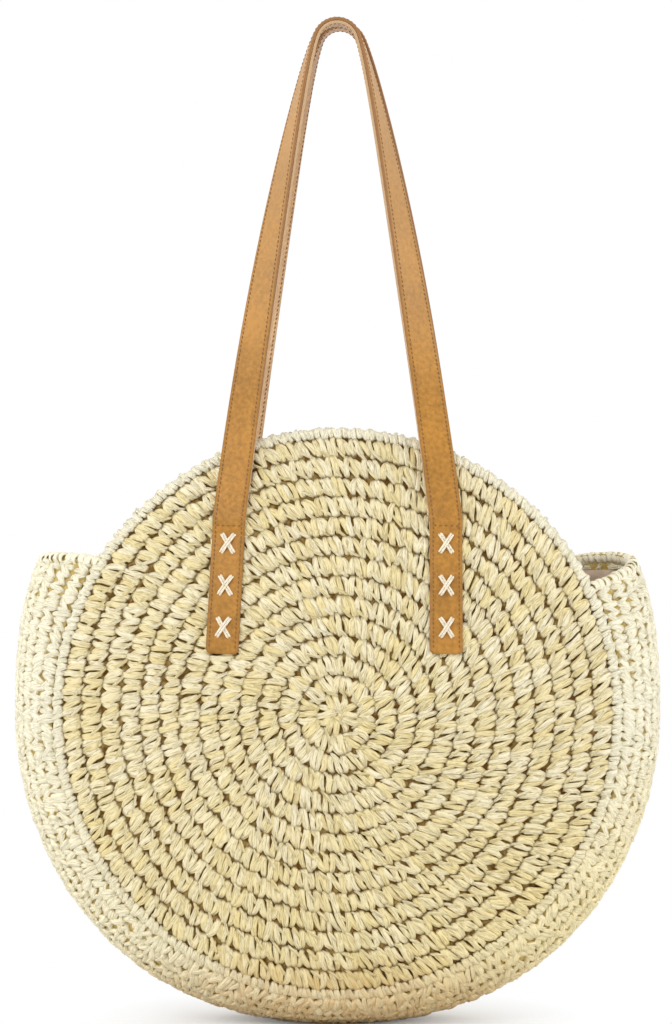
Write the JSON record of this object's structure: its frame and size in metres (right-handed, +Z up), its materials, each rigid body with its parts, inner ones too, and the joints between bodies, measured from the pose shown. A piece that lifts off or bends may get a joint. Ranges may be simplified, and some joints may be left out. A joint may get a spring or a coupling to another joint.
{
  "type": "straw tote bag",
  "caption": "Round crocheted straw tote bag with a bulging side gusset, cloth lining, magnetic snap and two folding leather handles sewn on with crossed cords.",
  "frame": {"origin": "on the surface that the bag stands on, under the middle of the bag", "axes": "+Z up, -Y is the front of the bag, +X to the right as seen from the front"},
  "size_m": [0.4152, 0.12, 0.6447],
  "materials": {
    "straw": "crocheted raffia straw, matte with a slight sheen",
    "lining_cloth": "plain woven cotton",
    "leather": "smooth vegetable-tanned leather with painted edges",
    "cord": "doubled waxed cotton cord",
    "snap_metal": "plated, satin"
  },
  "bodies": {
    "bag": {"back_edging": "straw", "back_left_cross_1": "cord", "back_left_cross_2": "cord", "back_left_cross_3": "cord", "back_left_tab": "leather", "back_lining": "lining_cloth", "back_panel": "straw", "back_right_cross_1": "cord", "back_right_cross_2": "cord", "back_right_cross_3": "cord", "back_right_tab": "leather", "front_edging": "straw", "front_left_cross_1": "cord", "front_left_cross_2": "cord", "front_left_cross_3": "cord", "front_left_tab": "leather", "front_lining": "lining_cloth", "front_panel": "straw", "front_right_cross_1": "cord", "front_right_cross_2": "cord", "front_right_cross_3": "cord", "front_right_tab": "leather", "gusset": "straw", "gusset_lining": "lining_cloth", "snap_socket": "snap_metal", "snap_socket_washer": "snap_metal", "snap_stud": "snap_metal", "snap_stud_washer": "snap_metal"},
    "front_handle": {"front_handle_backing": "leather", "front_handle_face": "leather"},
    "back_handle": {"back_handle_backing": "leather", "back_handle_face": "leather"}
  },
  "joints": [
    {"name": "front_handle_fold", "type": "hinge", "parent": "bag", "child": "front_handle", "pos_m": [0, -0.04901, 0.32179], "axis": [1, 0, 0], "range_deg": [0, 165]},
    {"name": "back_handle_fold", "type": "hinge", "parent": "bag", "child": "back_handle", "pos_m": [0.002, 0.04922, 0.32179], "axis": [-1, 0, 0], "range_deg": [0, 165]}
  ]
}
